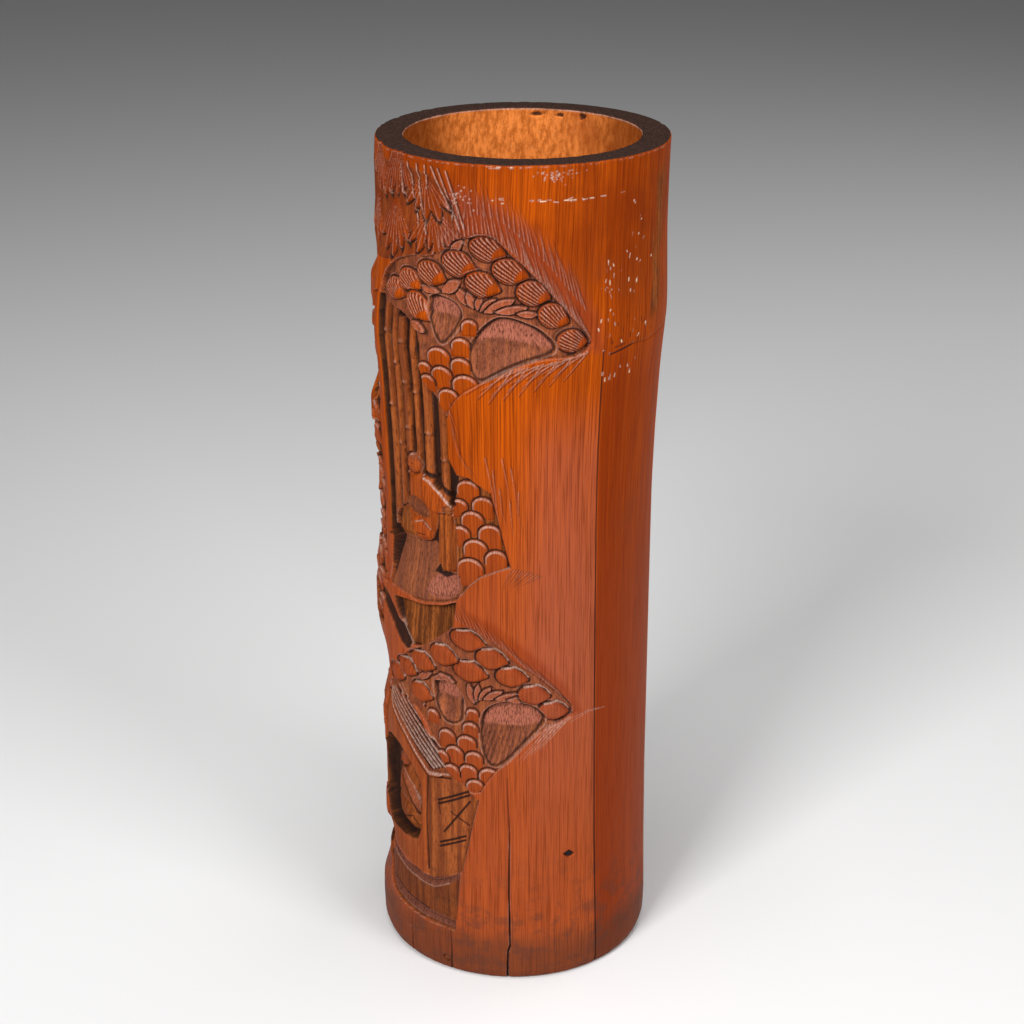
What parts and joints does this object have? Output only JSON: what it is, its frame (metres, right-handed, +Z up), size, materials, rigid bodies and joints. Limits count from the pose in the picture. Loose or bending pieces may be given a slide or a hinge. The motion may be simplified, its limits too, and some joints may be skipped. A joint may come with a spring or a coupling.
{
  "type": "brush pot",
  "caption": "Tall bamboo brush pot: one bored culm section with a landscape carved in deep relief, a stained rim and a pegged floor disc.",
  "frame": {"origin": "middle of the foot, on the surface that the pot stands on", "axes": "+Z up along the culm to the mouth; -Y out through the middle of the carved scene; +X to the right of someone facing the scene"},
  "size_m": [0.1209, 0.1212, 0.355],
  "materials": {
    "bamboo_skin": "aged orange-red bamboo skin under a thin lacquer, brown in the carved ground",
    "floor_wood": "plain oiled wood, unvarnished inside",
    "peg_bamboo": "stained bamboo end grain",
    "plug_filler": "dark stained filler, matt"
  },
  "bodies": {
    "root": {"culm_wall": "bamboo_skin", "floor_disc": "floor_wood", "floor_peg_1": "peg_bamboo", "floor_peg_2": "peg_bamboo", "floor_peg_3": "peg_bamboo", "wall_plug": "plug_filler"}
  },
  "joints": []
}
